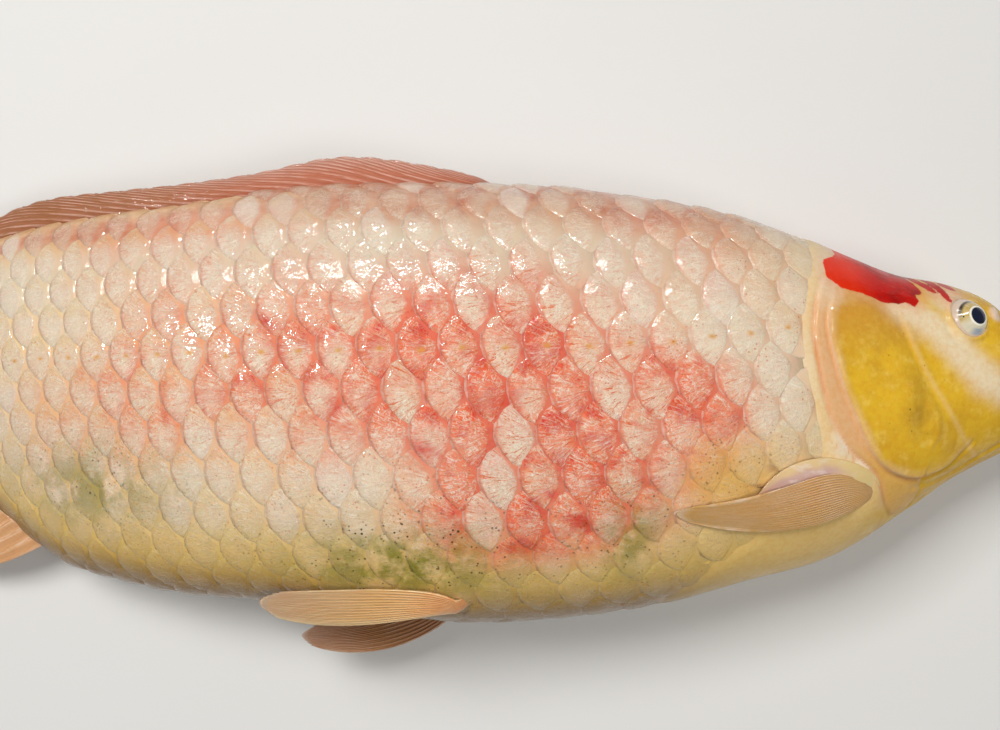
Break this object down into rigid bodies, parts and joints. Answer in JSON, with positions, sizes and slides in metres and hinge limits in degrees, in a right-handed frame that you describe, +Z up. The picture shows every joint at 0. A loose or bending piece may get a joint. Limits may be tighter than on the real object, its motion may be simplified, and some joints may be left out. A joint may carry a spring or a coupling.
{
  "type": "koi carp display model",
  "caption": "Life-size still model of a heavy-bodied koi carp lying on its side, cream with a yellow head, a red crown patch and a pink flush, its fins folded back.",
  "frame": {"origin": "middle of the bounding box's base, on the floor that the fish lies on", "axes": "+X towards the snout along the body, +Y towards the back, +Z up out of the right flank"},
  "size_m": [0.7236, 0.2302, 0.1134],
  "materials": {
    "body_skin": "wet gloss over overlapping cream scales with a pink and red flush",
    "head_skin": "wet gloss, scaleless yellow ochre skin with a red crown patch",
    "fin": "satin rayed fin, peach to orange",
    "barbel": "satin yellow",
    "eye": "polished, black pupil in a cream and gold iris"
  },
  "bodies": {
    "root": {"head": "head_skin", "lower_jaw": "head_skin", "gill_cover_right": "head_skin", "gill_cover_left": "head_skin", "trunk_front": "body_skin", "trunk_rear": "body_skin", "tail_stalk": "body_skin", "anal_fin": "fin", "caudal_fin_lower": "fin", "caudal_fin_upper": "fin", "dorsal_fin": "fin", "pectoral_fin_left": "fin", "pectoral_fin_right": "fin", "pelvic_fin_left": "fin", "pelvic_fin_right": "fin", "barbel_front_right": "barbel", "barbel_front_left": "barbel", "barbel_rear_right": "barbel", "barbel_rear_left": "barbel", "eye_right": "eye", "eye_left": "eye"}
  },
  "joints": []
}
